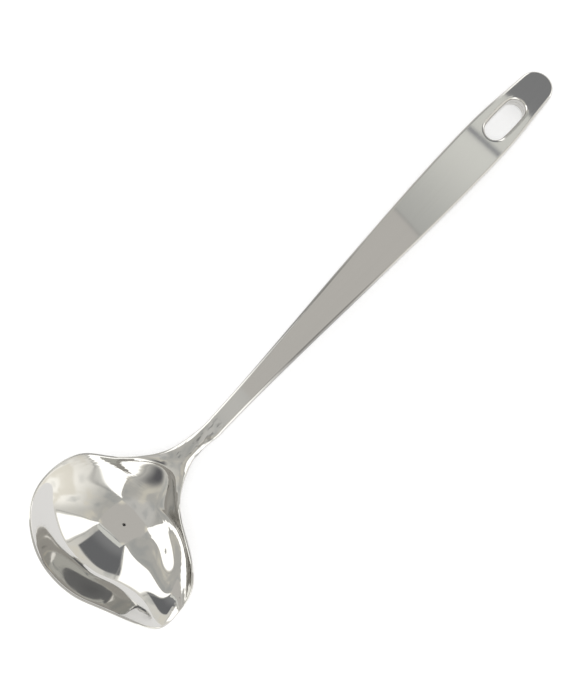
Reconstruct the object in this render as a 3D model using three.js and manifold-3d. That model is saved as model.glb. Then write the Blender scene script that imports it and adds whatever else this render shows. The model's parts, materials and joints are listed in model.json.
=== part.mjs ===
// Sauce spoon: a drawn bowl with a side spout, welded by its stem to a hollow handle of two pressed shells.
// Millimetres. The spoon lies on a table. +X runs from the bowl to the handle's end, +Y is left, +Z is up.
import * as THREE from "three";
import Module from "manifold-3d";

const wasm = await Module();
wasm.setup();
const { degToRad, lerp, smoothstep } = THREE.MathUtils;

// Sizes of the bowl
const bowlSheet = 1.2; // thickness of the drawn sheet
const bowlDepth = 21; // from the rim's plane down to the bottom, over the bowl's lowest point
const rimTilt = degToRad(17.3); // the rim's plane falls towards the handle by this
const bottomRadius = 42; // how round the bowl is at its lowest point
const lowestAcross = -3.3; // the lowest point lies to the right of the handle's axis, towards the spout
const dishReach = 40; // the round dish that the bowl's net is laid on is level outside of this radius
const middleShare = 0.33; // how far the middle part of the net reaches, as a share of the way to the rim
const footDepth = 0.25; // this much of the underside is ground flat, for the bowl to stand on
const edgeShare = 0.45; // the edges are rounded by this share of the thickness, up to the handle's own radius

// The rim, anticlockwise from the neck: how far along the spoon from the lowest point, how far to the left of
// the handle's axis, how far under the rim's plane, and how upright the wall is there (1 is part of a circle,
// less is a ramp that levels off to the rim)
const neckRoot = { along: 21, across: 0, under: 8.7, upright: 1 };
const leftShoulder = { along: 18.2, across: 13, under: 7.8, upright: 0.8 };
const rightShoulder = { along: 12, across: -11.9, under: 11.3, upright: 0.85 };
const rim = [
  leftShoulder,
  { along: 7.5, across: 23.8, under: 8.4, upright: 0.8 },
  { along: 0.6, across: 33.7, under: 5.4, upright: 0.78 },
  { along: -11.4, across: 36.4, under: 1.8, upright: 0.88 },
  { along: -23.8, across: 32.2, under: 0, upright: 1 },
  { along: -32.7, across: 21.3, under: 0, upright: 1 },
  { along: -37, across: 8.9, under: 0, upright: 1 },
  { along: -36.9, across: -5.9, under: 0, upright: 1 },
  { along: -32.9, across: -18.8, under: 0.2, upright: 0.97 },
  { along: -27.9, across: -34, under: 1, upright: 0.85 },
  { along: -24.1, across: -42.6, under: 6.3, upright: 0.65 }, // front corner of the spout
  { along: -16.3, across: -43.1, under: 11.8, upright: 0.3 }, // the spout's lip
  { along: -5.6, across: -39.4, under: 7, upright: 0.7 }, // back corner of the spout
  { along: 3, across: -27.9, under: 7.4, upright: 0.82 },
  rightShoulder,
];
const wallShares = [0.48, 0.63, 0.77, 0.89]; // where the wall's rings lie, as shares of the way to the rim

// The neck, at shares of the way from its root to the stem: its reach to the left and right, and how far its
// middle and its edges lie under the upper face of the handle's mouth
const neck = [
  { share: 0.22, left: 7.7, right: 3.9, middle: 3, edge: 4 },
  { share: 0.47, left: 5.4, right: 2.6, middle: 1.6, edge: 2.6 },
  { share: 0.74, left: 4, right: 2.5, middle: 0.8, edge: 1.5 },
];
const neckThickFrom = 16; // the sheet starts to thicken into the stem here, along from the lowest point
const stemStraight = 4; // the stem is straight and as thick as the handle for this long, before the weld

// Sizes of the handle
const handleLength = 209;
const mouthAt = 52.6; // where the handle starts, along the spoon from the bowl's lowest point
const mouthHeight = 11.1; // of the handle's upper face there, over the inside of the bottom
const mouthSlope = degToRad(4.5); // the handle rises by this there, and then arches down to the table
const mouthWidth = 8.4;
const mouthThickness = 4.6;
const mouthFlare = degToRad(0.65); // the sides open by this, each, at the mouth
const widestWidth = 20.8;
const widestFromTip = 49;
const flarePull = 0.28; // the sides keep their direction at both ends for about this share of the way
const tipRadius = 8;
const tipTaper = degToRad(4.6); // the sides close in by this, each, towards the tip
const tipThickness = 7.6;
const shellWall = 0.9;
const handleEdge = 1.3; // radius of the long edges
const holeLength = 22;
const holeWidth = 9.8;
const holeEndShare = 0.95; // radius of its round ends, as a share of half its width
const holeFromTip = 27.9; // from its middle to the tip
const holeLip = 1.5; // radius of the lip at both faces

// Places along the handle, from its mouth
const widestAt = handleLength - widestFromTip;
const holeAt = handleLength - holeFromTip;

// Welds and clearances
const seamHeight = 0.8; // of the weld between the shells
const neckWeldWidth = 2; // of the weld between the stem and the handle
const weldGap = 0.05; // left between each weld and the piece it holds
const tangLength = 14; // the tang on the stem goes into the handle by this
const tangRoot = 3; // and starts this deep in the stem
const tangClearance = 0.2;

// Fineness
const bowlRefinements = 2;
const edgeSteps = 3; // pieces of each rounded edge
const outlineSteps = 10; // pieces of each curve of the handle's outline
const holeSteps = 10; // pieces of each curve of the hole
const samePlace = 1e-4; // corners closer than this are one vertex
const settleTurns = 12; // rounds in which the bowl's net settles on its given places
const halvings = 60; // in which a value is searched
const straightestArch = 100 * handleLength; // an arch of this radius is as good as straight

// Meshes

const vector = (x, y, z) => new THREE.Vector3(x, y, z);
const range = (count) => Array.from({ length: count }, (_, i) => i);
const mean = (points) => points.reduce((sum, p) => sum.add(p), vector(0, 0, 0)).divideScalar(points.length);

// The value between low, where a function is under zero, and high, where it is over zero, at which it is zero
function zeroOf(f, low, high) {
  for (let i = 0; i < halvings; i += 1) {
    const middle = (low + high) / 2;
    if (f(middle) < 0) low = middle;
    else high = middle;
  }
  return (low + high) / 2;
}

const fullTurn = 2 * Math.PI;

// The angles of a rounded edge
const quarterTurn = range(edgeSteps + 1).map((step) => (step / edgeSteps) * (Math.PI / 2));

// A closed surface, gathered from faces given as lists of corners. Corners at one place become one vertex.
class Surface {
  points = [];
  triangles = [];
  seen = new Map();

  vertex(p) {
    const key = p.toArray().map((value) => Math.round(value / samePlace)).join();
    if (!this.seen.has(key)) {
      this.seen.set(key, this.points.length);
      this.points.push(p);
    }
    return this.seen.get(key);
  }

  triangle(...corners) {
    const ids = corners.map((p) => this.vertex(p));
    if (new Set(ids).size === 3) this.triangles.push(...ids);
  }

  quad(a, b, c, d) {
    this.triangle(a, b, c);
    this.triangle(a, c, d);
  }

  // Quads between neighbouring rows of points
  grid(rows, closed = false) {
    for (const i of range(rows.length - 1)) {
      const [row, next] = [rows[i], rows[i + 1]];
      for (const j of range(closed ? row.length : row.length - 1)) {
        const k = (j + 1) % row.length;
        this.quad(row[j], row[k], next[k], next[j]);
      }
    }
  }

  // A flat end over a loop of points
  cap(loop) {
    const middle = mean(loop);
    loop.forEach((p, i) => this.triangle(middle, p, loop[(i + 1) % loop.length]));
  }

  solid() {
    const positions = new Float32Array(this.points.flatMap((p) => p.toArray()));
    const corners = new Uint32Array(this.triangles);
    return new wasm.Manifold(
      new wasm.Mesh({ numProp: 3, vertProperties: positions, triVerts: corners }),
    );
  }
}

// The solid between a row of closed loops, from the first to the last, with both ends closed
function loft(loops) {
  const surface = new Surface();
  surface.grid(loops, true);
  surface.cap([...loops[0]].reverse());
  surface.cap(loops[loops.length - 1]);
  return surface.solid();
}

// The solid between closed loops of which the last joins the first again
function ring(loops) {
  const surface = new Surface();
  surface.grid([...loops, loops[0]], true);
  return surface.solid();
}

function meshOf(name, solid, material) {
  const made = solid.getMesh();
  const geometry = new THREE.BufferGeometry();
  geometry.setAttribute("position", new THREE.BufferAttribute(made.vertProperties, 3));
  geometry.setIndex(new THREE.BufferAttribute(made.triVerts, 1));
  geometry.computeVertexNormals();
  const mesh = new THREE.Mesh(geometry, material);
  mesh.name = name;
  return mesh;
}

// Smooth sheets: a net of four-cornered faces, refined by splitting each in four and evening out the corners

function edgesOf(net) {
  const edges = new Map();
  net.faces.forEach((face, f) =>
    face.forEach((a, i) => {
      const b = face[(i + 1) % 4];
      const key = a < b ? `${a} ${b}` : `${b} ${a}`;
      if (!edges.has(key)) edges.set(key, { a, b, faces: [] });
      edges.get(key).faces.push(f);
    }),
  );
  return edges;
}

function refined(net) {
  const edges = edgesOf(net);
  const facePoints = net.faces.map((face) => mean(face.map((v) => net.points[v])));
  const touching = net.points.map(() => ({ faces: [], middles: [], borders: [] }));
  net.faces.forEach((face, f) => face.forEach((v) => touching[v].faces.push(facePoints[f])));
  const points = [];
  const edgeIds = new Map();
  for (const [key, { a, b, faces }] of edges) {
    const ends = [net.points[a], net.points[b]];
    const middle = mean(ends);
    touching[a].middles.push(middle);
    touching[b].middles.push(middle);
    if (faces.length === 1) {
      touching[a].borders.push(net.points[b]);
      touching[b].borders.push(net.points[a]);
    }
    edgeIds.set(key, points.length);
    points.push(faces.length === 1 ? middle : mean([...ends, ...faces.map((f) => facePoints[f])]));
  }
  const faceStart = points.length;
  points.push(...facePoints);
  const vertexStart = points.length;
  const kept = net.points.map((_, v) => vertexStart + v); // where the old points are now
  net.points.forEach((p, v) => {
    const { faces, middles, borders } = touching[v];
    if (faces.length === 1) {
      points.push(p.clone()); // a corner of the sheet stays
    } else if (borders.length) {
      points.push(p.clone().multiplyScalar(6).add(borders[0]).add(borders[1]).divideScalar(8));
    } else {
      const count = faces.length;
      const pulled = mean(faces).addScaledVector(mean(middles), 2);
      points.push(pulled.addScaledVector(p, count - 3).divideScalar(count));
    }
  });
  const edgeId = (a, b) => edgeIds.get(a < b ? `${a} ${b}` : `${b} ${a}`);
  const faces = net.faces.flatMap((face, f) =>
    face.map((v, i) => [
      kept[v],
      edgeId(v, face[(i + 1) % 4]),
      faceStart + f,
      edgeId(v, face[(i + 3) % 4]),
    ]),
  );
  return { points, faces, kept };
}

function normalsOf(net) {
  const normals = net.points.map(() => vector(0, 0, 0));
  for (const face of net.faces) {
    const [a, b, c, d] = face.map((v) => net.points[v]);
    const across = vector(0, 0, 0).crossVectors(c.clone().sub(a), d.clone().sub(b));
    face.forEach((v) => normals[v].add(across));
  }
  return normals.map((n) => n.normalize());
}

// The sheet's border, as a list of vertices in order with the faces on their left
function borderOf(net) {
  const sides = new Set();
  net.faces.forEach((face) => face.forEach((a, i) => sides.add(`${a} ${face[(i + 1) % 4]}`)));
  const after = new Map();
  for (const side of sides) {
    const [a, b] = side.split(" ").map(Number);
    if (!sides.has(`${b} ${a}`)) after.set(a, b);
  }
  const border = [after.keys().next().value];
  while (after.get(border[border.length - 1]) !== border[0]) {
    border.push(after.get(border[border.length - 1]));
  }
  return border;
}

// The handle's own curve: straight before the mouth, then an arch of one radius

function archOf(mouth, radius) {
  return (along, across, height) => {
    const bent = Math.max(along, 0);
    const straight = Math.min(along, 0);
    const slope = mouthSlope - bent / radius;
    const x = mouth.x + radius * (Math.sin(mouthSlope) - Math.sin(slope)) + straight * Math.cos(slope);
    const z = mouth.z + radius * (Math.cos(slope) - Math.cos(mouthSlope)) + straight * Math.sin(slope);
    return vector(x - height * Math.sin(slope), across, z + height * Math.cos(slope));
  };
}

const thicknessAt = (along) =>
  lerp(mouthThickness, tipThickness, THREE.MathUtils.clamp(along / handleLength, 0, 1));

// The bowl with its neck and stem

const edgeRadius = (thickness) => Math.min(handleEdge, edgeShare * thickness);
const stemHalf = mouthWidth / 2 - edgeRadius(mouthThickness); // the flat of the stem, to either side
const stemEnd = -neckWeldWidth - weldGap; // where the stem stops at the weld
const mouthMiddle = vector(
  mouthAt + (mouthThickness / 2) * Math.sin(mouthSlope),
  0,
  mouthHeight - (mouthThickness / 2) * Math.cos(mouthSlope),
);
const beforeMouth = archOf(mouthMiddle, handleLength); // used only where the handle's curve is straight
const stemTop = (along, across) => beforeMouth(along, across, mouthThickness / 2);
const stemStart = stemTop(stemEnd - stemStraight, 0).x;

const rimPlane = (along) => bowlDepth - along * Math.tan(rimTilt);

// A point of the bowl's inside on the way from its lowest point to a place on the rim.
// The way there is a curve that starts level, with the bottom's radius, and ends with the wall's slope.
// Seen from above it turns from an even share of the full circle to the direction of the place on the rim.
function spokePoint(spokes, k, share) {
  const station = spokes[k];
  const across = station.across - lowestAcross;
  const reach = Math.hypot(station.along, across);
  const height = rimPlane(station.along) - station.under;
  const roundSlope = 2 * Math.atan2(height, reach);
  const radius = (reach * reach + height * height) / (2 * height);
  const slope = roundSlope * station.upright;
  const endPull = (4 / 3) * Math.tan(roundSlope / 4) * radius * (2 - station.upright);
  const bend = new THREE.Vector2(reach - endPull * Math.cos(slope), height - endPull * Math.sin(slope));
  const startPull = Math.sqrt((2 / 3) * bottomRadius * bend.y);
  const wall = new THREE.CubicBezierCurve(
    new THREE.Vector2(0, 0),
    new THREE.Vector2(startPull, 0),
    bend,
    new THREE.Vector2(reach, height),
  );
  const out = share * reach;
  const at = wall.getPoint(zeroOf((t) => wall.getPoint(t).x - out, 0, 1));
  const rimAngle = THREE.MathUtils.euclideanModulo(Math.atan2(across, station.along), fullTurn);
  const angle = lerp((fullTurn * k) / spokes.length, rimAngle, share);
  return vector(at.x * Math.cos(angle), lowestAcross + at.x * Math.sin(angle), at.y);
}

// The height of a round dish with the bottom's radius, which turns smoothly to a level brim
function dish(p) {
  const brim = (dishReach * dishReach) / (6 * bottomRadius);
  const out = Math.min(Math.hypot(p.x, p.y - lowestAcross) / dishReach, 1);
  return brim * (1 - (1 - out * out) ** 3);
}

// Moves the points of a net so that the smooth sheet made from it runs through their old places
function drawnThrough(net) {
  const wanted = net.points.map((p) => p.clone());
  for (let turn = 0; turn < settleTurns; turn += 1) {
    const once = refined(net);
    const twice = refined(once);
    net.points.forEach((p, v) => p.add(wanted[v]).sub(twice.points[twice.kept[once.kept[v]]]));
  }
  return net;
}

function bowlNet() {
  const points = [];
  const faces = [];
  const add = (p) => points.push(p) - 1;
  const spokes = [neckRoot, ...rim];
  const count = spokes.length;

  // The middle: five by five points, the outer sixteen on the spokes
  const outer = range(count).map((k) => add(spokePoint(spokes, k, middleShare)));
  const inner = range(count / 2).map((i) => add(spokePoint(spokes, 2 * i, middleShare / 2)));
  const centre = add(vector(0, lowestAcross, 0));
  const around = (list, i) => list[(i + list.length) % list.length];
  for (const i of range(count / 2)) {
    const straight = i % 2 === 0; // sides of the square come between its corners
    if (straight) {
      faces.push([inner[i], around(outer, 2 * i), around(outer, 2 * i + 1), around(inner, i + 1)]);
      faces.push([around(inner, i - 1), around(outer, 2 * i - 1), outer[2 * i], inner[i]]);
      faces.push([centre, inner[i], around(inner, i + 1), around(inner, i + 2)]);
    } else {
      faces.push([inner[i], around(outer, 2 * i - 1), outer[2 * i], around(outer, 2 * i + 1)]);
    }
  }

  // The wall: rings from the middle out to the rim
  const rings = [outer];
  for (const share of [...wallShares, 1]) {
    rings.push(range(count).map((k) => add(spokePoint(spokes, k, share))));
  }
  for (const i of range(rings.length - 1)) {
    const [near, far] = [rings[i], rings[i + 1]];
    for (const k of range(count)) faces.push([near[k], far[k], around(far, k + 1), around(near, k + 1)]);
  }

  // The neck: rows of right edge, middle and left edge, on from the rim's shoulders
  const rimRing = rings[rings.length - 1];
  const rows = [[rimRing[count - 1], rimRing[0], rimRing[1]]];
  for (const { share, left, right, middle, edge } of neck) {
    const along = lerp(neckRoot.along, stemStart, share);
    const at = (across, drop) => add(vector(along, across, mouthHeight - drop));
    rows.push([at(-right, edge), at(0, middle), at(left, edge)]);
  }
  for (const along of [stemEnd - stemStraight, stemEnd]) {
    rows.push([-stemHalf, 0, stemHalf].map((across) => add(stemTop(along, across))));
  }
  for (const i of range(rows.length - 1)) {
    for (const j of range(2)) faces.push([rows[i][j], rows[i + 1][j], rows[i + 1][j + 1], rows[i][j + 1]]);
  }
  return { points, faces };
}

// The net made fine, with its underside and its rounded edge, still without the tang
function bowlSurface() {
  // The net is smoothed by its heights over a round dish, so that the bowl's middle is evenly round
  let net = bowlNet();
  net.points.forEach((p) => {
    p.z -= dish(p);
  });
  net = drawnThrough(net);
  for (let i = 0; i < bowlRefinements; i += 1) net = refined(net);
  net.points.forEach((p) => {
    p.z += dish(p);
  });
  const normals = normalsOf(net);
  const endX = stemTop(stemEnd, 0).x;
  const atEnd = (v) => Math.abs(net.points[v].x - endX) < samePlace;
  const stemUp = vector(-Math.sin(mouthSlope), 0, Math.cos(mouthSlope));
  normals.filter((_, v) => atEnd(v)).forEach((normal) => normal.copy(stemUp)); // so that the end is flat
  const thickness = net.points.map((p) =>
    lerp(bowlSheet, mouthThickness, smoothstep(p.x, neckThickFrom, stemStart)),
  );
  const under = net.points.map((p, i) => p.clone().addScaledVector(normals[i], -thickness[i]));
  const table = Math.min(...under.map((p) => p.z)) + footDepth;
  under.forEach((p) => {
    p.z = Math.max(p.z, table);
  });

  const surface = new Surface();
  for (const face of net.faces) {
    surface.quad(...face.map((v) => net.points[v]));
    surface.quad(...face.map((v) => under[v]).reverse());
  }

  // The border without the stem's end, from the stem's right corner round the neck and rim to its left corner
  const border = borderOf(net);
  const start = border.findIndex((v, i) => atEnd(v) && !atEnd(border[(i + 1) % border.length]));
  const ordered = range(border.length).map((i) => border[(start + i) % border.length]);
  const last = ordered.findIndex((v, i) => i > 0 && atEnd(v));
  const free = ordered.slice(0, last + 1);
  const end = [...ordered.slice(last), ordered[0]];

  const columns = free.map((v, i) => {
    const p = net.points[v];
    const before = net.points[free[Math.max(i - 1, 0)]];
    const after = net.points[free[Math.min(i + 1, free.length - 1)]];
    const out = after.clone().sub(before).cross(normals[v]).normalize();
    if (atEnd(v)) out.set(0, Math.sign(p.y), 0);
    const radius = edgeRadius(thickness[v]);
    const down = normals[v].clone().negate();
    const at = (outwards, downwards) =>
      p.clone().addScaledVector(out, outwards).addScaledVector(down, downwards);
    const depth = thickness[v];
    const upper = quarterTurn.map((angle) =>
      at(radius * Math.sin(angle), radius * (1 - Math.cos(angle))),
    );
    const lower = quarterTurn.map((angle) =>
      at(radius * Math.cos(angle), depth - radius * (1 - Math.sin(angle))),
    );
    lower[lower.length - 1] = under[v];
    return [...upper, ...lower];
  });
  surface.grid(columns);

  const lowerEnd = end.slice(1, -1).map((v) => under[v]);
  const upperEnd = end.slice(1, -1).map((v) => net.points[v]).reverse();
  surface.cap([...lowerEnd, ...[...columns[0]].reverse(), ...upperEnd, ...columns[columns.length - 1]]);
  return { surface, table };
}

// The handle's outline and sections

// Half of the outline, from the mouth along the left side to the tip, as points (along, across)
function halfOutline() {
  const widest = widestWidth / 2;
  const tipCentre = handleLength - tipRadius;
  const tipStart = Math.PI / 2 - tipTaper;
  const touch = new THREE.Vector2(Math.cos(tipStart), Math.sin(tipStart)).multiplyScalar(tipRadius);
  touch.x += tipCentre;
  const bend = (touch.x - widestAt) / 2;
  const path = new THREE.Path();
  path.moveTo(0, mouthWidth / 2);
  const pull = flarePull * widestAt;
  path.bezierCurveTo(
    pull,
    mouthWidth / 2 + pull * Math.tan(mouthFlare),
    widestAt - pull,
    widest,
    widestAt,
    widest,
  );
  path.bezierCurveTo(
    widestAt + bend,
    widest,
    touch.x - bend * Math.cos(tipTaper),
    touch.y + bend * Math.sin(tipTaper),
    touch.x,
    touch.y,
  );
  path.absarc(tipCentre, 0, tipRadius, tipStart, 0, true);
  return path.getPoints(outlineSteps);
}

const outline = halfOutline();
const inwards = outline.map((p, i) => {
  if (i === 0) return new THREE.Vector2(0, -1);
  if (i === outline.length - 1) return new THREE.Vector2(-1, 0);
  const way = outline[i + 1].clone().sub(outline[i - 1]).normalize();
  return new THREE.Vector2(way.y, -way.x);
});

// A rounded corner of the section, from the side to the face, as pairs of inset from the outline and height
function cornerProfile(along, inset, from) {
  const top = thicknessAt(along) / 2 - inset;
  const radius = Math.max(handleEdge - inset, 0);
  const corner = quarterTurn.map((angle) => [
    inset + radius * (1 - Math.cos(angle)),
    top - radius * (1 - Math.sin(angle)),
  ]);
  return [[inset, from], ...corner];
}

// One row across a shell, from its left side over the face to its right side. side is 1 in front, -1 behind.
function shellRow(place, i, inset, from, side) {
  const { x, y } = outline[i];
  const at = ([offset, height], hand) =>
    place(x + inwards[i].x * offset, hand * (y + inwards[i].y * offset), side * height);
  const profile = cornerProfile(x, inset, from);
  const left = profile.map((pair) => at(pair, 1));
  const right = profile.map((pair) => at(pair, -1)).reverse();
  const face = profile[profile.length - 1];
  const middle = place(x + inwards[i].x * face[0], 0, side * face[1]);
  return [...left, middle, ...right];
}

function shellSolid(place, side) {
  const from = seamHeight / 2 + weldGap;
  const outside = outline.map((_, i) => shellRow(place, i, 0, from, side));
  const inside = outline.map((_, i) => shellRow(place, i, shellWall, from, side));
  const loops = outside.map((row, i) => [...row, ...inside[i].reverse()]);
  if (side < 0) loops.forEach((loop) => loop.reverse());
  const surface = new Surface();
  surface.grid(loops, true);
  const [first] = loops;
  const half = first.length / 2;
  for (const j of range(half - 1)) {
    surface.quad(first[j], first[first.length - 1 - j], first[first.length - 2 - j], first[j + 1]);
  }
  return surface.solid();
}

// The handle's whole section at one place, as a closed loop
function wholeSection(place, along, inset) {
  const half = mouthWidth / 2;
  const profile = cornerProfile(along, inset, 0);
  const quarter = (hand, side) =>
    profile.map(([offset, height]) => place(along, hand * (half - offset), side * height));
  return [
    ...quarter(1, 1),
    ...quarter(-1, 1).reverse(),
    ...quarter(-1, -1).slice(1),
    ...quarter(1, -1).slice(1).reverse(),
  ];
}

// The hanging hole

// The oval round the hole, wider by offset, as points (along, across): round ends and sides that bow out
function holeOutline(offset) {
  const endRadius = (holeEndShare * holeWidth) / 2;
  const endAlong = holeLength / 2 - endRadius;
  const bow = holeWidth / 2 - endRadius;
  const sideRadius = endRadius + (endAlong * endAlong + bow * bow) / (2 * bow);
  const sideAcross = sideRadius - holeWidth / 2;
  const join = Math.atan2(sideAcross, endAlong);
  const arcs = [
    { along: endAlong, across: 0, radius: endRadius, from: -join, to: join },
    { along: 0, across: -sideAcross, radius: sideRadius, from: join, to: Math.PI - join },
    { along: -endAlong, across: 0, radius: endRadius, from: Math.PI - join, to: Math.PI + join },
    { along: 0, across: sideAcross, radius: sideRadius, from: Math.PI + join, to: fullTurn - join },
  ];
  return arcs.flatMap((arc) =>
    range(holeSteps).map((step) => {
      const angle = lerp(arc.from, arc.to, step / holeSteps);
      const reach = arc.radius + offset;
      const along = holeAt + arc.along + reach * Math.cos(angle);
      return new THREE.Vector2(along, arc.across + reach * Math.sin(angle));
    }),
  );
}

// A loop round the hole; height is a function of the handle's half thickness there
const holeLoop = (place, offset, height) =>
  holeOutline(offset).map((p) => place(p.x, p.y, height(thicknessAt(p.x) / 2)));

function holeCutter(place) {
  const past = 1; // the cutter goes past both faces by this
  const loops = [[holeLip, (half) => -half - past]];
  for (const angle of quarterTurn) {
    const out = holeLip * (1 - Math.sin(angle));
    loops.push([out, (half) => -half + holeLip * (1 - Math.cos(angle))]);
  }
  for (const angle of [...quarterTurn].reverse()) {
    const out = holeLip * (1 - Math.sin(angle));
    loops.push([out, (half) => half - holeLip * (1 - Math.cos(angle))]);
  }
  loops.push([holeLip, (half) => half + past]);
  return loft(loops.map(([offset, height]) => holeLoop(place, offset, height)));
}

// The block that the hole's collar is cut from, from the seam into the shell's face
function collarBlock(place, side) {
  const from = () => side * (seamHeight / 2 + weldGap);
  const to = (half) => side * (half - shellWall / 2);
  const loops = [from, to].map((height) => holeLoop(place, shellWall, height));
  return loft(side > 0 ? loops : loops.reverse());
}

// Welds

function seamWeld(place) {
  const half = seamHeight / 2;
  const section = [
    [0, -half],
    [0, half],
    [shellWall, half],
    [shellWall, -half],
  ];
  const column = (i, hand) =>
    section.map(([offset, height]) => {
      const p = outline[i].clone().addScaledVector(inwards[i], offset);
      return place(p.x, hand * p.y, height);
    });
  const left = outline.map((_, i) => column(i, 1));
  const right = outline.map((_, i) => column(i, -1)).reverse();
  return loft([...left, ...right.slice(1)]);
}

function holeWeld(place) {
  const half = seamHeight / 2;
  return ring([
    holeLoop(place, 0, () => half),
    holeLoop(place, 0, () => -half),
    holeLoop(place, shellWall, () => -half),
    holeLoop(place, shellWall, () => half),
  ]);
}

function neckWeld(place) {
  const ends = [-neckWeldWidth, -weldGap];
  return ring([
    wholeSection(place, ends[0], 0),
    wholeSection(place, ends[1], 0),
    wholeSection(place, ends[1], shellWall),
    wholeSection(place, ends[0], shellWall),
  ]);
}

// Assembly

const { surface: bowlSkin, table } = bowlSurface();
const lowestAt = handleLength - handleEdge; // the end of the handle's flat underside
const tipUnderside = (radius) => archOf(mouthMiddle, radius)(lowestAt, 0, -thicknessAt(lowestAt) / 2).z;
const archRadius = zeroOf((radius) => tipUnderside(radius) - table, handleLength, straightestArch);
const place = archOf(mouthMiddle, archRadius); // the arch that brings the handle's end down to the table

const tangInset = shellWall + tangClearance;
const tangEnds = [stemEnd - tangRoot, stemEnd, 0, tangLength / 2, tangLength];
const tang = loft(tangEnds.map((along) => wholeSection(place, along, tangInset)));
const cutter = holeCutter(place);
const shell = (side) => shellSolid(place, side).add(collarBlock(place, side)).subtract(cutter);

const polished = () => new THREE.MeshStandardMaterial({ color: 0xcfccc6, roughness: 0.08, metalness: 1 });
const satin = () => new THREE.MeshStandardMaterial({ color: 0xb4b3ae, roughness: 0.38, metalness: 1 });

const spoon = new THREE.Group();
spoon.name = "sauce_spoon";
spoon.add(
  meshOf("bowl", bowlSkin.solid().add(tang), polished()),
  meshOf("neck_weld", neckWeld(place), polished()),
  meshOf("handle_front_shell", shell(1), satin()),
  meshOf("handle_back_shell", shell(-1), satin()),
  meshOf("handle_seam_weld", seamWeld(place), satin()),
  meshOf("hanging_hole_weld", holeWeld(place), satin()),
);

// The origin is on the table, under the middle of the whole spoon
const box = new THREE.Box3().setFromObject(spoon);
const middle = box.getCenter(vector(0, 0, 0));
spoon.children.forEach((mesh) => mesh.geometry.translate(-middle.x, -middle.y, -box.min.z));

export default spoon;
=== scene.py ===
import json
import math

import bpy
import numpy
from mathutils import Matrix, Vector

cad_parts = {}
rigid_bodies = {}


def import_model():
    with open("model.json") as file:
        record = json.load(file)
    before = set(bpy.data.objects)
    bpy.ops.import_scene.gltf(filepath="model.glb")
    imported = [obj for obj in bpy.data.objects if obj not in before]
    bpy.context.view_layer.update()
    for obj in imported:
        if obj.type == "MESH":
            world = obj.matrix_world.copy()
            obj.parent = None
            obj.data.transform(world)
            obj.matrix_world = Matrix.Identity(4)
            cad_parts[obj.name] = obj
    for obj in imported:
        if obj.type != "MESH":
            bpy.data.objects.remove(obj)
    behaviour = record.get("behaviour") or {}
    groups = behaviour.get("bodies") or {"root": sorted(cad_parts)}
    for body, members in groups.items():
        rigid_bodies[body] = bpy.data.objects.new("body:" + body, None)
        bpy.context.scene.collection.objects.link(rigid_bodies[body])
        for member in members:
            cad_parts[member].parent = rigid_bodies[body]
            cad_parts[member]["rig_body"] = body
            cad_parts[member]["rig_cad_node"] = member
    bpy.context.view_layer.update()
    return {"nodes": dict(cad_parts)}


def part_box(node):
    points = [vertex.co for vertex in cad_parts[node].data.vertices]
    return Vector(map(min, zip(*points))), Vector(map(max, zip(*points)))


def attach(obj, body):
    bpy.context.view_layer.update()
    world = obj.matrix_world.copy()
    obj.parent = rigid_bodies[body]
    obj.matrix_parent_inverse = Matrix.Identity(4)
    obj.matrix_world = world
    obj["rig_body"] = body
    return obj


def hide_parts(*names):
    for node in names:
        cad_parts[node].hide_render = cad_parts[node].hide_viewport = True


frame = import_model()

bl_info = {
    "name": "Sauce Spoon",
    "version": (1, 0, 0),
    "blender": (4, 5, 0),
    "location": "View3D > Sidebar > Spoon",
    "description": "A steel sauce spoon with a polished bowl and a satin handle, on a white table",
    "category": "Object",
}

BODY = "root"  # the spoon has no joints, so all its pieces ride on one body

# How a copy of a CAD node is cleaned
MERGE_DISTANCE = 2e-6  # metres, for corners of neighbouring triangles that are the same corner
QUAD_EVENNESS = 1.5  # how much joining triangles to four-sided faces follows the rows of the net
SHARP_ANGLE = math.radians(40)  # edges that turn by more than this stay sharp
BOWL_REFINEMENTS = 1
WELD_OVERLAP = 6e-5  # metres that a weld grows on each side, so that no gap shows beside it
FACE_LEVEL = 0.975  # faces of the handle that point up or down by more than this are its long faces
ARCH_ORDER = 3  # order of the curve that is laid through the slopes of a long face

# Where the finish changes along the spoon, and where the edges' painted dark reflection lies
WELD_MIDDLE = sum(corner.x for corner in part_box("neck_weld")) / 2
DENT_FADE = 0.003  # metres over which the dents of the grinding begin and end
DENT_DARKNESS = 0.6
PAINTED_DARK_EDGE_SPAN = (-0.035, 0.03)  # metres along the spoon between which the edges get a painted dark reflection: a darker colour
PAINTED_DARK_EDGE_FADE = 0.02

# Marks in the finishes: lengths of their grains along X, Y and Z in metres, where 0 is endless
RAGGED_GRAIN = (0.006, 0.0025, 0.0025)
DENT_GRAIN = (0.005, 0.0014, 0.0014)
WIPING_GRAIN = (0.003, 0.0004, 0.003)
EDGE_GRAIN = (0.004, 0.0006, 0.0006)
BRUSH_LENGTH = 0.05
BAND_GRAIN = (0.16, 0.004, 0.0)

# Which levels of the noise in those marks are drawn from weakest to strongest
DENT_LEVELS = (0.56, 0.66)
WIPING_LEVELS = (0.3, 0.75)
MARK_LEVELS = (0.3, 0.7)

# How the marks change the steel, as shares of its roughness and its tone
POLISH_SPREAD = (0.6, 1.5)
EDGE_SPREAD = (1.5, 3.5)
SATIN_SPREAD = (0.85, 1.15)
BAND_SHARE = 0.3  # of the broad bands in the brushing, beside its fine lines
BRUSH_DARKEST = 0.975
BRUSH_STRENGTH = 0.08
BRUSH_DEPTH = 0.00002  # metres

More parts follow.
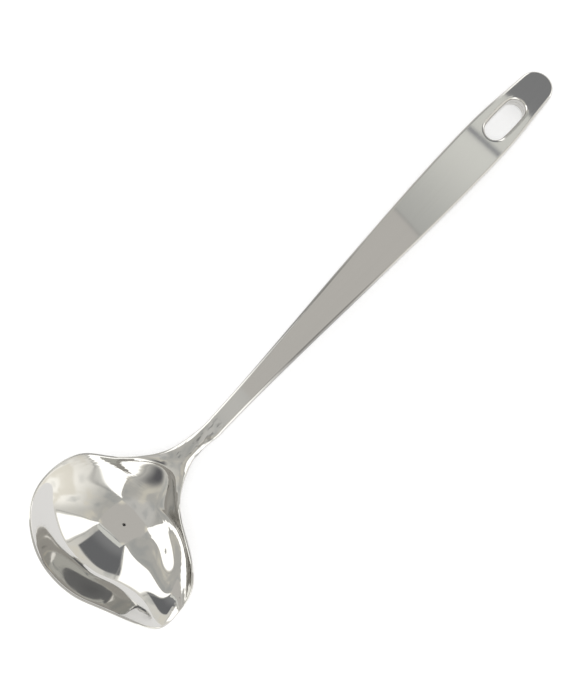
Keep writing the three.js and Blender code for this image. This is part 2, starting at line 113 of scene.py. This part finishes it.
# Tones of the light tent and the room that the steel mirrors
CEILING_TONE = (0.69, 0.675, 0.645)
HEM_TONE = (0.47, 0.47, 0.46)
GLOW_TONE = (1.1, 1.05, 0.9)
WALL_TONE_TOP = (0.76, 0.755, 0.73)
WALL_TONE_HIGH = (0.62, 0.615, 0.585)
WALL_TONE_LOW = (0.95, 0.94, 0.89)
LEFT_TONE_LOW = (0.6, 0.6, 0.57)
RIGHT_TONE_LOW = (1.5, 1.48, 1.4)
WARM_TONE = (0.98, 0.93, 0.8)
COOL_TONE = (0.42, 0.45, 0.46)
OPENING_TONE_HIGH = (0.3, 0.305, 0.315)
OPENING_TONE_LOW = (0.2, 0.205, 0.215)
GRIME_TONE = (0.2, 0.2, 0.2)
# Colour of the painted dark reflection on the handle's edges next to the neck
PAINTED_DARK_EDGE_TONE = (0.34, 0.335, 0.325)
STAND_TONE = (0.15, 0.15, 0.16)
LAMP_TONE = (1.9, 1.9, 1.85)
FAR_TONE_NEAR = (0.6, 0.61, 0.59)
FAR_TONE_FAR = (0.95, 0.96, 0.92)
FAR_TONE_END = (0.9, 0.91, 0.87)
BEAM_TONE = (0.3, 0.31, 0.34)
CAMERA_TONE = (0.02, 0.02, 0.02)
PAPER_TONE = (0.8, 0.8, 0.8)
ROOM_LIGHT = (0.85, 0.85, 0.85)  # soft light from all round, on the table
BACKDROP_TONE = (1.0, 1.0, 1.0)
TABLE_WHITE = 0.45  # what the table adds to its own light in the picture
TABLE_MIRRORED = 0.45  # and in the steel

# The tent's walls as seen from the bowl: turns from the handle's end to the left, leans from straight up
EDGE_BLUR = math.radians(1.2)
WALL_BLUR = math.radians(8)
WALL_TOP_LEANS = (math.radians(17), math.radians(30))
WALL_LEANS = (math.radians(32), math.radians(84))
LEFT_WALL = (math.radians(45), math.radians(92))
RIGHT_WALL = (math.radians(-115), math.radians(-55))
OPENING_TURNS = (math.radians(-37.4), math.radians(11.5))
OPENING_LEANS = (math.radians(31), math.radians(76.5))
OPENING_SLANTS = (0.3, 0.12)  # turn per lean of its sides, and lean per turn of its lower edge
OPENING_SHADE = (math.radians(46), math.radians(64))
LAMP_END = math.radians(86)
LAMP_TIP = math.radians(1)
LAMP_FADE = (0.9, 1.1)  # where a lamp's side fades, as shares of its half width
LAMP_SEAM = (1.18, 1.3)  # where the tent's seam runs beside it, as such shares too
LAMP_SEAM_BLUR = 0.06
LAMP_SEAM_SHARE = 0.6
LAMP_WEDGES = (  # turn and lean of the point, turn of the end's middle, half the end's width, how it widens
    (math.radians(-34.5), math.radians(40), math.radians(-34.5), math.radians(10), 0.7),
    (math.radians(25), math.radians(40), math.radians(45), math.radians(9), 0.35),
    (math.radians(87), math.radians(19), math.radians(117), math.radians(18), 0.3),
    (math.radians(-106), math.radians(27), math.radians(-133), math.radians(31), 0.7),
)
FOLD_SCALE = 3.0  # of the noise that stands for the folds in the tent's cloth
FOLD_DETAIL = 2.0
WARM_FOLDS = (0.52, 0.7, 0.0, 0.6)  # levels of that noise, and how much the tone changes at them
COOL_FOLDS = (0.48, 0.32, 0.0, 0.45)
STAND_TURN = math.radians(-160)
STAND_LEAN = math.radians(52)
STAND_RADII = (math.radians(2), math.radians(13))  # where its blurred edge starts and ends

# The rest of the stage, in metres
CORNER_GLOW = 0.05
HEM_WIDTH = 0.005
FAR_HEIGHT = 1.063
FAR_START = 0.3
FAR_BEAM = 0.687
FAR_BEAM_WIDTH = 0.017
FAR_END = 0.867
FAR_WIDTH = 0.85
FAR_MIDDLE = -0.105
CAMERA_RADIUS = 0.011
CAMERA_CLIP = 0.01  # nothing nearer to the camera than this is drawn


class SpoonFinishes(bpy.types.PropertyGroup):
    """Colours and finishes of the steel."""

    steel_colour: bpy.props.FloatVectorProperty(
        name="Steel Colour",
        description="Colour that the bare steel reflects",
        subtype="COLOR",
        size=3,
        min=0.0,
        max=1.0,
        default=(0.62, 0.61, 0.59),
    )
    polish_roughness: bpy.props.FloatProperty(
        name="Polish Roughness",
        description="Roughness of the mirror-polished bowl",
        subtype="FACTOR",
        min=0.0,
        max=1.0,
        default=0.05,
    )
    satin_roughness: bpy.props.FloatProperty(
        name="Satin Roughness",
        description="Roughness of the brushed faces of the handle",
        subtype="FACTOR",
        min=0.0,
        max=1.0,
        default=0.05,
    )
    brush_spacing: bpy.props.FloatProperty(
        name="Brush Spacing",
        description="Distance between the brush lines on the handle",
        subtype="DISTANCE",
        unit="LENGTH",
        min=0.00005,
        max=0.005,
        default=0.00035,
    )
    wave_length: bpy.props.FloatProperty(
        name="Wave Length",
        description="Length of the soft waves that hand polishing leaves in the bowl",
        subtype="DISTANCE",
        unit="LENGTH",
        min=0.001,
        max=0.1,
        default=0.014,
    )
    wave_depth: bpy.props.FloatProperty(
        name="Wave Depth",
        description="Depth of the soft waves in the bowl",
        subtype="DISTANCE",
        unit="LENGTH",
        min=0.0,
        max=0.001,
        default=0.00006,
    )
    blend_length: bpy.props.FloatProperty(
        name="Blend Length",
        description="Length of neck on which the satin of the handle fades into the polish of the bowl",
        subtype="DISTANCE",
        unit="LENGTH",
        min=0.001,
        max=0.1,
        default=0.024,
    )


class SpoonStage(bpy.types.PropertyGroup):
    """Table, surroundings and camera."""

    floor_size: bpy.props.FloatProperty(
        name="Floor Size",
        description="Side of the square table top",
        subtype="DISTANCE",
        unit="LENGTH",
        min=0.5,
        default=6.0,
    )
    ceiling_height: bpy.props.FloatProperty(
        name="Ceiling Height",
        description="Height of the lit ceiling over the table",
        subtype="DISTANCE",
        unit="LENGTH",
        min=0.37,
        default=0.39,
    )
    ceiling_size: bpy.props.FloatVectorProperty(
        name="Ceiling Size",
        description="Length and width of the lit ceiling",
        subtype="XYZ",
        unit="LENGTH",
        size=2,
        default=(0.2934, 0.3058),
    )
    ceiling_middle: bpy.props.FloatVectorProperty(
        name="Ceiling Middle",
        description="Where the middle of the ceiling is over the table",
        subtype="XYZ",
        unit="LENGTH",
        size=2,
        default=(0.013, -0.0277),
    )
    ceiling_turn: bpy.props.FloatProperty(
        name="Ceiling Turn",
        description="How far the ceiling is turned against the spoon",
        subtype="ANGLE",
        default=math.radians(-7),
    )
    camera_place: bpy.props.FloatVectorProperty(
        name="Camera Place",
        description="Where the camera stands",
        subtype="TRANSLATION",
        unit="LENGTH",
        size=3,
        default=(-0.01284, -0.02477, 0.35892),
    )
    camera_tilt: bpy.props.FloatProperty(
        name="Camera Tilt",
        description="How far the camera leans from looking straight down",
        subtype="ANGLE",
        default=math.radians(4.5),
    )
    camera_turn: bpy.props.FloatProperty(
        name="Camera Turn",
        description="How far the camera is turned about its own line of sight",
        subtype="ANGLE",
        default=math.radians(-46.66),
    )
    camera_lens: bpy.props.FloatProperty(
        name="Camera Lens",
        description="Focal length of the camera",
        subtype="DISTANCE_CAMERA",
        min=1.0,
        default=41.74,
    )


# Shader nodes


def add_node(tree, kind, inputs=None, **settings):
    """Adds a shader node. An input is given a value, or a socket that it is linked to."""
    made = tree.nodes.new(kind)
    for name, value in settings.items():
        setattr(made, name, value)
    for key, value in (inputs or {}).items():
        if isinstance(value, bpy.types.NodeSocket):
            tree.links.new(value, made.inputs[key])
        else:
            made.inputs[key].default_value = value
    return made


def calculate(tree, operation, first, second=0.0):
    """The result of one calculation on two numbers."""
    return add_node(tree, "ShaderNodeMath", {0: first, 1: second}, operation=operation).outputs[0]


def remap(tree, value, low, high, to_low=0.0, to_high=1.0):
    """A number that goes smoothly from to_low to to_high while value goes from low to high."""
    ranges = {"Value": value, "From Min": low, "From Max": high, "To Min": to_low, "To Max": to_high}
    return add_node(tree, "ShaderNodeMapRange", ranges, interpolation_type="SMOOTHSTEP").outputs[0]


def between(tree, value, low, high, blur):
    """1 where value lies between low and high, with soft ends, and 0 elsewhere."""
    risen = remap(tree, value, low - blur, low + blur)
    fallen = remap(tree, value, high - blur, high + blur, 1.0, 0.0)
    return calculate(tree, "MULTIPLY", risen, fallen)


def blend(tree, factor, first, second):
    """A number between two numbers."""
    return add_node(tree, "ShaderNodeMix", {"Factor": factor, "A": first, "B": second}).outputs[0]


def mix_colours(tree, factor, first, second):
    """A colour between two colours."""
    made = add_node(tree, "ShaderNodeMix", {"Factor": factor}, data_type="RGBA")
    for name, value in (("A", first), ("B", second)):
        socket = next(s for s in made.inputs if s.name == name and s.type == "RGBA")
        if isinstance(value, bpy.types.NodeSocket):
            tree.links.new(value, socket)
        else:
            socket.default_value = (*value, 1.0)
    return next(s for s in made.outputs if s.type == "RGBA")


def stretched_noise(tree, lengths, detail=3.0):
    """Noise on the spoon's own coordinates, with grains of the given lengths, of which 0 is endless."""
    place = add_node(tree, "ShaderNodeTexCoord").outputs["Object"]
    scale = tuple(1.0 / length if length else 0.0 for length in lengths)
    mapped = add_node(tree, "ShaderNodeMapping", {"Vector": place, "Scale": scale})
    made = add_node(
        tree,
        "ShaderNodeTexNoise",
        {"Vector": mapped.outputs[0], "Scale": 1.0, "Detail": detail},
    )
    return made.outputs["Fac"]


def place_along(tree):
    """How far along the spoon a point is."""
    place = add_node(tree, "ShaderNodeTexCoord").outputs["Object"]
    return add_node(tree, "ShaderNodeSeparateXYZ", {0: place}).outputs["X"]


# Finishes


def new_steel(name, finishes):
    """A material of bare steel, and its shader node."""
    material = bpy.data.materials.new(name)
    material.use_nodes = True
    shader = material.node_tree.nodes["Principled BSDF"]
    shader.inputs["Metallic"].default_value = 1.0
    shader.inputs["Base Color"].default_value = (*finishes.steel_colour, 1.0)
    return material, shader


def polished_steel(finishes):
    """Mirror polish with soft waves and fine wiping marks, which fades to satin on the neck."""
    material, shader = new_steel("spoon_polish", finishes)
    tree = material.node_tree
    along = place_along(tree)

    # Ground marks: the satin of the handle ends in ragged patches on the neck
    ragged = stretched_noise(tree, RAGGED_GRAIN)
    shifted = calculate(tree, "MULTIPLY_ADD", ragged, finishes.blend_length)
    tree.links.new(along, shifted.node.inputs[2])
    satin_share = remap(tree, shifted, WELD_MIDDLE - finishes.blend_length / 3, WELD_MIDDLE)

    # Dark ragged dents of the grinding, on the stretch of neck before the weld
    dents = stretched_noise(tree, DENT_GRAIN, detail=2.0)
    before = between(tree, along, WELD_MIDDLE - finishes.blend_length, WELD_MIDDLE, DENT_FADE)
    depth = remap(tree, dents, *DENT_LEVELS, 0.0, DENT_DARKNESS)
    dented = calculate(tree, "MULTIPLY", depth, before)
    tone = mix_colours(tree, dented, tuple(finishes.steel_colour), GRIME_TONE)
    tree.links.new(tone, shader.inputs["Base Color"])

    wiping = stretched_noise(tree, WIPING_GRAIN, detail=4.0)
    spread = [finishes.polish_roughness * share for share in POLISH_SPREAD]
    polish = remap(tree, wiping, *WIPING_LEVELS, *spread)
    rough = blend(tree, satin_share, polish, finishes.satin_roughness)
    tree.links.new(rough, shader.inputs["Roughness"])

    waves = stretched_noise(tree, (finishes.wave_length,) * 3, detail=1.5)
    bump = add_node(
        tree,
        "ShaderNodeBump",
        {"Height": waves, "Strength": 1.0, "Distance": finishes.wave_depth},
    )
    tree.links.new(bump.outputs[0], shader.inputs["Normal"])
    return material


def polished_edge(finishes):
    """The handle's rounded edges and the hole's lip: polished, with a painted dark reflection next to the
    neck.
    """
    material, shader = new_steel("spoon_edge", finishes)
    tree = material.node_tree
    marks = stretched_noise(tree, EDGE_GRAIN)
    spread = [finishes.polish_roughness * share for share in EDGE_SPREAD]
    tree.links.new(remap(tree, marks, *MARK_LEVELS, *spread), shader.inputs["Roughness"])
    # Painted dark reflection: the edges' colour darkens on the stretch next to the neck
    painted_dark_edge = between(tree, place_along(tree), *PAINTED_DARK_EDGE_SPAN, PAINTED_DARK_EDGE_FADE)
    tone = mix_colours(tree, painted_dark_edge, tuple(finishes.steel_colour), PAINTED_DARK_EDGE_TONE)
    tree.links.new(tone, shader.inputs["Base Color"])
    return material


def satin_steel(finishes):
    """Brushed along the handle: fine lines in the roughness, the tone and the surface."""
    material, shader = new_steel("spoon_satin", finishes)
    tree = material.node_tree
    lines = stretched_noise(tree, (BRUSH_LENGTH, finishes.brush_spacing, 0.0), detail=4.0)
    bands = stretched_noise(tree, BAND_GRAIN, detail=2.0)
    together = blend(tree, BAND_SHARE, lines, bands)
    spread = [finishes.satin_roughness * share for share in SATIN_SPREAD]
    tree.links.new(remap(tree, together, *MARK_LEVELS, *spread), shader.inputs["Roughness"])
    dark = tuple(BRUSH_DARKEST * channel for channel in finishes.steel_colour)
    tone = mix_colours(tree, remap(tree, together, *MARK_LEVELS), dark, tuple(finishes.steel_colour))
    tree.links.new(tone, shader.inputs["Base Color"])
    bump = add_node(
        tree,
        "ShaderNodeBump",
        {"Height": lines, "Strength": BRUSH_STRENGTH, "Distance": BRUSH_DEPTH},
    )
    tree.links.new(bump.outputs[0], shader.inputs["Normal"])
    return material


# Pieces


def select_only(piece):
    """Selects one object and nothing else."""
    bpy.ops.object.select_all(action="DESELECT")
    piece.select_set(True)
    bpy.context.view_layer.objects.active = piece


def copy_of(node, name):
    """A copy of a CAD node with its corners merged and its triangles joined to four-sided faces."""
    select_only(frame["nodes"][node])
    bpy.ops.object.duplicate()
    piece = bpy.context.active_object
    bpy.ops.object.parent_clear(type="CLEAR_KEEP_TRANSFORM")
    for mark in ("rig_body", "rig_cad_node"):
        del piece[mark]
    piece.name = name
    piece.data.name = name
    piece.data.materials.clear()
    if piece.data.has_custom_normals:
        bpy.ops.mesh.customdata_custom_splitnormals_clear()
    bpy.ops.object.mode_set(mode="EDIT")
    bpy.ops.mesh.select_all(action="SELECT")
    bpy.ops.mesh.remove_doubles(threshold=MERGE_DISTANCE)
    bpy.ops.mesh.tris_convert_to_quads(topology_influence=QUAD_EVENNESS)
    bpy.ops.object.mode_set(mode="OBJECT")
    return piece


def refine(piece, levels):
    """Subdivides a piece smoothly, with its sharp edges kept."""
    bpy.ops.object.mode_set(mode="EDIT")
    bpy.ops.mesh.select_all(action="DESELECT")
    bpy.ops.mesh.edges_select_sharp(sharpness=SHARP_ANGLE)
    bpy.ops.transform.edge_crease(value=1.0)
    bpy.ops.object.mode_set(mode="OBJECT")
    bpy.ops.object.modifier_add(type="SUBSURF")
    modifier = piece.modifiers[-1]
    modifier.levels = levels
    modifier.render_levels = levels
    bpy.ops.object.modifier_apply(modifier=modifier.name)


def smooth(piece):
    """Smooth shading that follows the large faces, with the sharp edges kept."""
    bpy.ops.object.shade_smooth_by_angle(angle=SHARP_ANGLE)
    bpy.ops.object.modifier_add(type="WEIGHTED_NORMAL")
    modifier = piece.modifiers[-1]
    modifier.keep_sharp = True
    bpy.ops.object.modifier_apply(modifier=modifier.name)


def even_out(piece):
    """Shades the long faces of a handle shell as one even arch, however their triangles lie."""
    mesh = piece.data
    normals = [(0.0, 0.0, 0.0)] * len(mesh.loops)  # a corner without a normal keeps its own
    for way in (1.0, -1.0):
        faces = [face for face in mesh.polygons if way * face.normal.z > FACE_LEVEL]
        places = [face.center.x for face in faces]
        leans = [face.normal.x / face.normal.z for face in faces]
        arch = numpy.polyfit(places, leans, ARCH_ORDER, w=[face.area for face in faces])
        for face in faces:
            for loop in face.loop_indices:
                lean = numpy.polyval(arch, mesh.vertices[mesh.loops[loop].vertex_index].co.x)
                normals[loop] = (lean * way, 0.0, way)
    mesh.normals_split_custom_set(normals)


def grow(piece, distance):
    """Moves every face of a piece outwards."""
    bpy.ops.object.mode_set(mode="EDIT")
    bpy.ops.mesh.select_all(action="SELECT")
    bpy.ops.transform.shrink_fatten(value=distance)
    bpy.ops.object.mode_set(mode="OBJECT")


def finish_piece(piece, node):
    """Puts a piece in the frame in place of its CAD node."""
    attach(piece, BODY)
    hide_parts(node)


class SPOON_OT_bowl(bpy.types.Operator):
    """Makes the polished bowl with its neck"""

    bl_idname = "spoon.bowl"
    bl_label = "Bowl"

    def execute(self, context):
        piece = copy_of("bowl", "polished_bowl")
        refine(piece, BOWL_REFINEMENTS)
        bpy.ops.object.shade_smooth_by_angle(angle=SHARP_ANGLE)
        piece.data.materials.append(polished_steel(context.scene.spoon_finishes))
        finish_piece(piece, "bowl")
        return {"FINISHED"}


class SPOON_OT_handle_shells(bpy.types.Operator):
    """Makes the two shells of the handle, with satin faces and polished edges"""

    bl_idname = "spoon.handle_shells"
    bl_label = "Handle Shells"

    def execute(self, context):
        finishes = context.scene.spoon_finishes
        satin, edge = satin_steel(finishes), polished_edge(finishes)
        for side in ("front", "back"):
            node = f"handle_{side}_shell"
            piece = copy_of(node, f"satin_{side}_shell")
            smooth(piece)
            piece.data.materials.append(satin)
            piece.data.materials.append(edge)
            for face in piece.data.polygons:
                face.material_index = 0 if abs(face.normal.z) > FACE_LEVEL else 1
            even_out(piece)
            finish_piece(piece, node)
        return {"FINISHED"}


class SPOON_OT_welds(bpy.types.Operator):
    """Makes the three ground welds"""

    bl_idname = "spoon.welds"
    bl_label = "Welds"

    def execute(self, context):
        edge = bpy.data.materials["spoon_edge"]
        for node, name, material, slot in (
            ("neck_weld", "ground_neck_weld", bpy.data.materials["spoon_polish"], "polished_steel"),
            ("handle_seam_weld", "ground_seam_weld", edge, "satin_steel"),
            ("hanging_hole_weld", "ground_hole_weld", edge, "satin_steel"),
        ):
            piece = copy_of(node, name)
            grow(piece, WELD_OVERLAP)
            smooth(piece)
            piece.data.materials.append(material)
            finish_piece(piece, node)
        return {"FINISHED"}


# Stage


class SPOON_OT_stage(bpy.types.Operator):
    """Makes the white table, the light tent that the steel mirrors, and the camera"""

    bl_idname = "spoon.stage"
    bl_label = "Stage"

    def execute(self, context):
        stage = context.scene.spoon_stage
        make_floor(stage)
        make_ceiling(stage)
        make_far_ceiling()
        make_camera_front(stage)
        make_surroundings(context.scene)
        make_camera(context.scene, stage)
        context.scene.view_settings.view_transform = "Standard"
        return {"FINISHED"}


def make_floor(stage):
    """A white table top that shows as white and keeps the spoon's shadow."""
    bpy.ops.object.select_all(action="DESELECT")
    bpy.ops.mesh.primitive_plane_add(size=stage.floor_size)
    floor = bpy.context.active_object
    floor.name = "table_top"
    material, tree = new_light("white_table")
    paper = add_node(tree, "ShaderNodeBsdfDiffuse", {"Color": (*PAPER_TONE, 1.0)})
    path = add_node(tree, "ShaderNodeLightPath")
    pictured = calculate(tree, "MULTIPLY", path.outputs["Is Camera Ray"], TABLE_WHITE)
    mirrored = calculate(tree, "MULTIPLY", path.outputs["Is Glossy Ray"], TABLE_MIRRORED)
    strength = calculate(tree, "ADD", pictured, mirrored)
    white = add_node(tree, "ShaderNodeEmission", {"Color": (1.0, 1.0, 1.0, 1.0), "Strength": strength})
    both = add_node(tree, "ShaderNodeAddShader", {0: paper.outputs[0], 1: white.outputs[0]})
    add_node(tree, "ShaderNodeOutputMaterial", {"Surface": both.outputs[0]})
    floor.data.materials.append(material)


def new_light(name):
    """An empty material for a part of the stage, and its node tree."""
    material = bpy.data.materials.new(name)
    material.use_nodes = True
    material.node_tree.nodes.clear()
    return material, material.node_tree


def add_sheet(name, size, middle, turn=0.0):
    """A level sheet that only the steel sees, so that it changes neither the picture nor the light."""
    bpy.ops.object.select_all(action="DESELECT")
    bpy.ops.mesh.primitive_plane_add(size=1.0, location=middle, rotation=(0.0, 0.0, turn))
    sheet = bpy.context.active_object
    sheet.name = name
    sheet.scale = (*size, 1.0)
    bpy.ops.object.transform_apply(location=False, rotation=False, scale=True)
    show_to_steel_only(sheet)
    return sheet


def show_to_steel_only(sheet):
    """Makes an object a part of the stage that is only seen mirrored, and that throws no light or shadow."""
    sheet.visible_camera = False
    sheet.visible_diffuse = False
    sheet.visible_transmission = False
    sheet.visible_volume_scatter = False
    sheet.visible_shadow = False


def light_up(sheet, material, tree, colour):
    """Makes a sheet glow with a colour."""
    light = add_node(tree, "ShaderNodeEmission", {"Color": colour, "Strength": 1.0})
    add_node(tree, "ShaderNodeOutputMaterial", {"Surface": light.outputs[0]})
    sheet.data.materials.append(material)


def make_ceiling(stage):
    """The lit ceiling of the tent, with a warm glow at its corners and a dark hem at its open end."""
    sheet = add_sheet(
        "tent_ceiling",
        stage.ceiling_size,
        (*stage.ceiling_middle, stage.ceiling_height),
        stage.ceiling_turn,
    )
    material, tree = new_light("tent_ceiling")
    place = add_node(tree, "ShaderNodeTexCoord").outputs["Object"]
    parts = add_node(tree, "ShaderNodeSeparateXYZ", {0: place})
    to_edge = []
    for axis, length in zip("XY", stage.ceiling_size):
        off = calculate(tree, "ABSOLUTE", parts.outputs[axis])
        to_edge.append(calculate(tree, "SUBTRACT", length / 2, off))
    squares = [calculate(tree, "POWER", distance, 2.0) for distance in to_edge]
    to_corner = calculate(tree, "SQRT", calculate(tree, "ADD", *squares))
    glow = remap(tree, to_corner, 0.0, CORNER_GLOW, 1.0, 0.0)
    to_open_end = calculate(tree, "SUBTRACT", stage.ceiling_size[0] / 2, parts.outputs["X"])
    hem = remap(tree, to_open_end, 0.0, HEM_WIDTH, 1.0, 0.0)
    tone = mix_colours(tree, hem, CEILING_TONE, HEM_TONE)
    light_up(sheet, material, tree, mix_colours(tree, glow, tone, GLOW_TONE))


def make_far_ceiling():
    """The ceiling of the room outside the tent's open end: it gets lighter to a dark beam, then greyer."""
    length = FAR_END - FAR_START
    middle = (FAR_START + FAR_END) / 2
    sheet = add_sheet("room_ceiling", (length, FAR_WIDTH), (middle, FAR_MIDDLE, FAR_HEIGHT))
    material, tree = new_light("room_ceiling")
    along = calculate(tree, "ADD", place_along(tree), middle)
    light = mix_colours(tree, remap(tree, along, FAR_START, FAR_BEAM), FAR_TONE_NEAR, FAR_TONE_FAR)
    light = mix_colours(tree, remap(tree, along, FAR_BEAM, FAR_BEAM + FAR_BEAM_WIDTH), light, FAR_TONE_END)
    beam = between(tree, along, FAR_BEAM, FAR_BEAM + FAR_BEAM_WIDTH, FAR_BEAM_WIDTH / 3)
    light_up(sheet, material, tree, mix_colours(tree, beam, light, BEAM_TONE))


def make_camera_front(stage):
    """The dark front of the camera, which shows as a dot in the bowl."""
    along, across, height = stage.camera_place
    bpy.ops.object.select_all(action="DESELECT")
    bpy.ops.mesh.primitive_circle_add(
        radius=CAMERA_RADIUS,
        fill_type="NGON",
        location=(along, across, height + CAMERA_RADIUS),
    )
    sheet = bpy.context.active_object
    sheet.name = "camera_front"
    show_to_steel_only(sheet)
    material, tree = new_light("camera_front")
    light_up(sheet, material, tree, (*CAMERA_TONE, 1.0))


def make_surroundings(scene):
    """Soft light all round for the table, and for the steel the walls of the tent to mirror."""
    world = bpy.data.worlds.new("light_tent")
    scene.world = world
    world.use_nodes = True
    tree = world.node_tree
    tree.nodes.clear()
    direction = add_node(tree, "ShaderNodeTexCoord").outputs["Generated"]
    parts = add_node(tree, "ShaderNodeSeparateXYZ", {0: direction})
    turn = calculate(tree, "ARCTAN2", parts.outputs["Y"], parts.outputs["X"])  # from the handle leftwards
    lean = calculate(tree, "ARCCOSINE", parts.outputs["Z"])  # from straight up

    # The walls get lighter towards the ceiling, and towards the table: less so on the left, more on the right
    left = between(tree, turn, *LEFT_WALL, WALL_BLUR)
    right = between(tree, turn, *RIGHT_WALL, WALL_BLUR)
    low_tone = mix_colours(tree, left, WALL_TONE_LOW, LEFT_TONE_LOW)
    low_tone = mix_colours(tree, right, low_tone, RIGHT_TONE_LOW)
    high_tone = mix_colours(tree, remap(tree, lean, *WALL_TOP_LEANS), WALL_TONE_TOP, WALL_TONE_HIGH)
    seen = mix_colours(tree, remap(tree, lean, *WALL_LEANS), high_tone, low_tone)
    folds = add_node(
        tree,
        "ShaderNodeTexNoise",
        {"Vector": direction, "Scale": FOLD_SCALE, "Detail": FOLD_DETAIL},
    )
    cloth = folds.outputs["Fac"]
    seen = mix_colours(tree, remap(tree, cloth, *WARM_FOLDS), seen, WARM_TONE)
    seen = mix_colours(tree, remap(tree, cloth, *COOL_FOLDS), seen, COOL_TONE)

    # The dark stand of the camera, out of focus at the front of the bowl
    towards = (
        math.sin(STAND_LEAN) * math.cos(STAND_TURN),
        math.sin(STAND_LEAN) * math.sin(STAND_TURN),
        math.cos(STAND_LEAN),
    )
    facing = add_node(tree, "ShaderNodeVectorMath", {0: direction, 1: towards}, operation="DOT_PRODUCT")
    away = calculate(tree, "ARCCOSINE", facing.outputs["Value"])
    seen = mix_colours(tree, remap(tree, away, *STAND_RADII, 1.0, 0.0), seen, STAND_TONE)

    # The open end of the tent
    side_slant, edge_slant = OPENING_SLANTS
    aside = calculate(tree, "SUBTRACT", turn, calculate(tree, "MULTIPLY", lean, side_slant))
    under = calculate(tree, "SUBTRACT", lean, calculate(tree, "MULTIPLY", turn, edge_slant))
    opening = calculate(
        tree,
        "MULTIPLY",
        between(tree, aside, *OPENING_TURNS, EDGE_BLUR),
        between(tree, under, *OPENING_LEANS, EDGE_BLUR),
    )
    inside = mix_colours(tree, remap(tree, lean, *OPENING_SHADE), OPENING_TONE_HIGH, OPENING_TONE_LOW)
    seen = mix_colours(tree, opening, seen, inside)

    # Lamps shine through at the corners: wedges that start at a corner of the ceiling
    for apex_turn, apex_lean, end_turn, half_width, spread in LAMP_WEDGES:
        down = remap(tree, lean, apex_lean, LAMP_END)
        wide = calculate(tree, "POWER", down, spread)
        middle = calculate(tree, "ADD", calculate(tree, "MULTIPLY", wide, end_turn - apex_turn), apex_turn)
        off = calculate(tree, "ABSOLUTE", calculate(tree, "SUBTRACT", turn, middle))
        half = calculate(tree, "ADD", calculate(tree, "MULTIPLY", wide, half_width), LAMP_TIP)
        out = calculate(tree, "DIVIDE", off, half)
        above = remap(tree, lean, apex_lean - EDGE_BLUR, apex_lean + EDGE_BLUR)
        below = remap(tree, lean, LAMP_END, LAMP_END + 2 * EDGE_BLUR, 1.0, 0.0)
        reach = calculate(tree, "MULTIPLY", above, below)
        seam = calculate(tree, "MULTIPLY", between(tree, out, *LAMP_SEAM, LAMP_SEAM_BLUR), reach)
        lamp = calculate(tree, "MULTIPLY", remap(tree, out, *LAMP_FADE, 1.0, 0.0), reach)
        seen = mix_colours(tree, calculate(tree, "MULTIPLY", seam, LAMP_SEAM_SHARE), seen, HEM_TONE)
        seen = mix_colours(tree, lamp, seen, LAMP_TONE)

    path = add_node(tree, "ShaderNodeLightPath")
    plain = mix_colours(tree, path.outputs["Is Camera Ray"], ROOM_LIGHT, BACKDROP_TONE)
    colour = mix_colours(tree, path.outputs["Is Glossy Ray"], plain, seen)
    background = add_node(tree, "ShaderNodeBackground", {"Color": colour, "Strength": 1.0})
    add_node(tree, "ShaderNodeOutputWorld", {"Surface": background.outputs[0]})


def make_camera(scene, stage):
    """The camera over the spoon, turned so that the spoon lies aslant in the picture."""
    turned = Matrix.Rotation(stage.camera_tilt, 3, "X") @ Matrix.Rotation(stage.camera_turn, 3, "Z")
    bpy.ops.object.camera_add(location=stage.camera_place, rotation=turned.to_euler())
    camera = bpy.context.active_object
    camera.data.lens = stage.camera_lens
    camera.data.clip_start = CAMERA_CLIP
    scene.camera = camera


# Sidebar and registration


class SPOON_PT_panel(bpy.types.Panel):
    """Lists the spoon's finishes, the stage's settings and the steps that make the pieces"""

    bl_idname = "SPOON_PT_panel"
    bl_label = "Sauce Spoon"
    bl_space_type = "VIEW_3D"
    bl_region_type = "UI"
    bl_category = "Spoon"

    def draw(self, context):
        layout = self.layout
        for group in (context.scene.spoon_finishes, context.scene.spoon_stage):
            for name in group.__annotations__:
                layout.prop(group, name)
        for operator in OPERATORS:
            layout.operator(operator.bl_idname)


OPERATORS = (SPOON_OT_bowl, SPOON_OT_handle_shells, SPOON_OT_welds, SPOON_OT_stage)
CLASSES = (SpoonFinishes, SpoonStage, *OPERATORS, SPOON_PT_panel)


def register():
    for each in CLASSES:
        bpy.utils.register_class(each)
    bpy.types.Scene.spoon_finishes = bpy.props.PointerProperty(type=SpoonFinishes)
    bpy.types.Scene.spoon_stage = bpy.props.PointerProperty(type=SpoonStage)


def unregister():
    del bpy.types.Scene.spoon_stage
    del bpy.types.Scene.spoon_finishes
    for each in reversed(CLASSES):
        bpy.utils.unregister_class(each)


def main():
    register()
    bpy.ops.spoon.bowl()
    bpy.ops.spoon.handle_shells()
    bpy.ops.spoon.welds()
    bpy.ops.spoon.stage()


if __name__ == "__main__":
    main()
